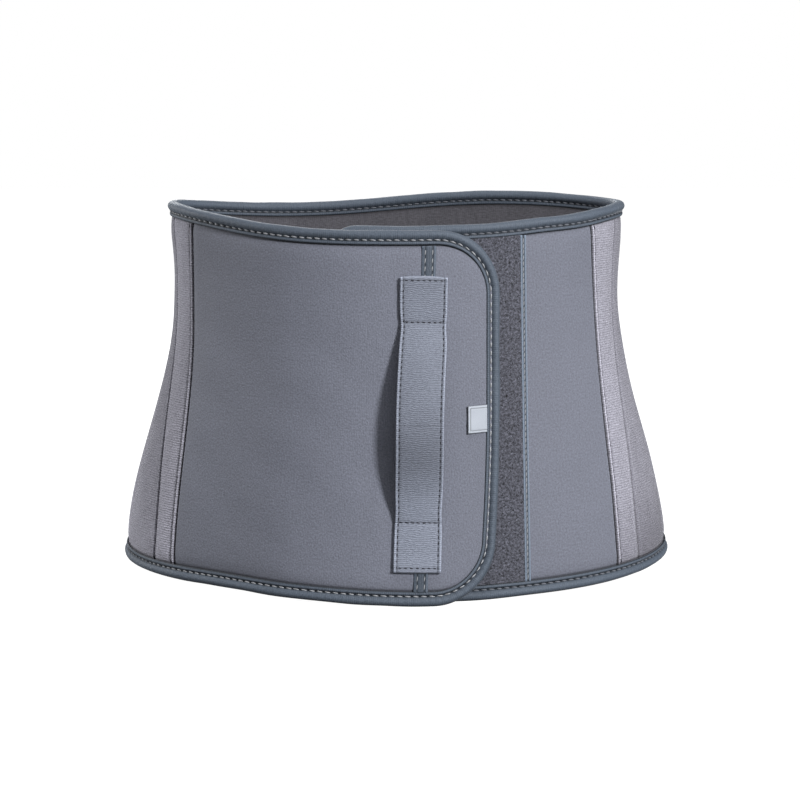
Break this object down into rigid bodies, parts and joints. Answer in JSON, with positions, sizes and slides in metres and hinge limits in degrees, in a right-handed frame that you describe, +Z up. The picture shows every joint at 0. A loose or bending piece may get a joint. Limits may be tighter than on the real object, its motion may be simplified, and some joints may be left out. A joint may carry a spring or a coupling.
{
  "type": "lumbar support belt",
  "caption": "Waisted wrap-around back support with bound edges, a hook-and-loop front flap with a webbing pull handle, velour sides and a ribbed back with sprung stays.",
  "frame": {"origin": "middle of the floor rectangle under the belt, which stands on its lower rim", "axes": "+Z up, -Y the wearer's front with the flap and handle, +X to the right of somebody facing the belt"},
  "size_m": [0.3722, 0.2292, 0.2419],
  "materials": {
    "smooth_fabric": "fine micro-suede over foam",
    "velour": "brushed velour",
    "loop_pile": "napped loop fastener",
    "binding": "folded woven tape",
    "webbing": "ribbed woven webbing",
    "lining": "knitted mesh lining",
    "foam": "closed-cell foam",
    "stay_steel": "sprung flat steel",
    "hook": "moulded hooks on tape",
    "label_tape": "woven satin label"
  },
  "bodies": {
    "back": {"back_cover": "velour", "back_core": "foam", "back_lining": "lining", "back_top_binding": "binding", "back_bottom_binding": "binding", "back_stay_1": "stay_steel", "back_stay_2": "stay_steel", "back_stay_3": "stay_steel", "back_stay_4": "stay_steel", "back_stay_channel_1": "binding", "back_stay_channel_2": "binding", "back_stay_channel_3": "binding", "back_stay_channel_4": "binding"},
    "left_side": {"left_front_strip": "velour", "left_middle_strip": "velour", "left_rear_strip": "velour", "left_side_core": "foam", "left_side_lining": "lining", "left_side_stay": "stay_steel", "left_side_top_binding": "binding", "left_side_bottom_binding": "binding"},
    "right_side": {"right_front_strip": "velour", "right_middle_strip": "velour", "right_rear_strip": "velour", "right_side_core": "foam", "right_side_lining": "lining", "right_side_stay": "stay_steel", "right_side_top_binding": "binding", "right_side_bottom_binding": "binding"},
    "flap": {"flap_cover": "smooth_fabric", "flap_core": "foam", "flap_lining": "lining", "flap_stay": "stay_steel", "flap_binding": "binding", "flap_stay_tape": "smooth_fabric", "flap_hook_strip": "hook", "handle_upper_end": "webbing", "handle_lower_end": "webbing"},
    "underlap": {"underlap_cover": "smooth_fabric", "underlap_core": "foam", "underlap_lining": "lining", "underlap_binding": "binding", "underlap_loop_strip": "loop_pile", "underlap_edge_tape": "smooth_fabric"},
    "handle": {"handle_span": "webbing"},
    "label": {"side_label": "label_tape"}
  },
  "joints": [
    {"name": "left_side_swing", "type": "hinge", "parent": "back", "child": "left_side", "pos_m": [-0.131, 0.08931, 0], "axis": [-0.098, 0.0824, -0.9918], "range_deg": [0, 45]},
    {"name": "flap_open", "type": "hinge", "parent": "left_side", "child": "flap", "pos_m": [-0.1445, -0.06369, 0], "axis": [-0.0569, -0.1491, -0.9872], "range_deg": [0, 110]},
    {"name": "right_side_swing", "type": "hinge", "parent": "back", "child": "right_side", "pos_m": [0.131, 0.08931, 0], "axis": [-0.098, -0.0824, 0.9918], "range_deg": [0, 24]},
    {"name": "underlap_open", "type": "hinge", "parent": "right_side", "child": "underlap", "pos_m": [0.1445, -0.06029, 0], "axis": [-0.0814, 0.1201, 0.9894], "range_deg": [0, 34]},
    {"name": "handle_swing", "type": "hinge", "parent": "flap", "child": "handle", "pos_m": [0.01377, -0.10459, 0.054], "axis": [0.0258, 0.1594, 0.9869], "range_deg": [-15, 15]},
    {"name": "label_flip", "type": "hinge", "parent": "flap", "child": "label", "pos_m": [0.0553, -0.08879, 0.104], "axis": [0, 0.1682, 0.9858], "range_deg": [0, 80]}
  ],
  "couplings": [
    {"joint": "right_side_swing", "follows": "flap_open", "ratio": 0.2},
    {"joint": "underlap_open", "follows": "flap_open", "ratio": 0.3}
  ]
}
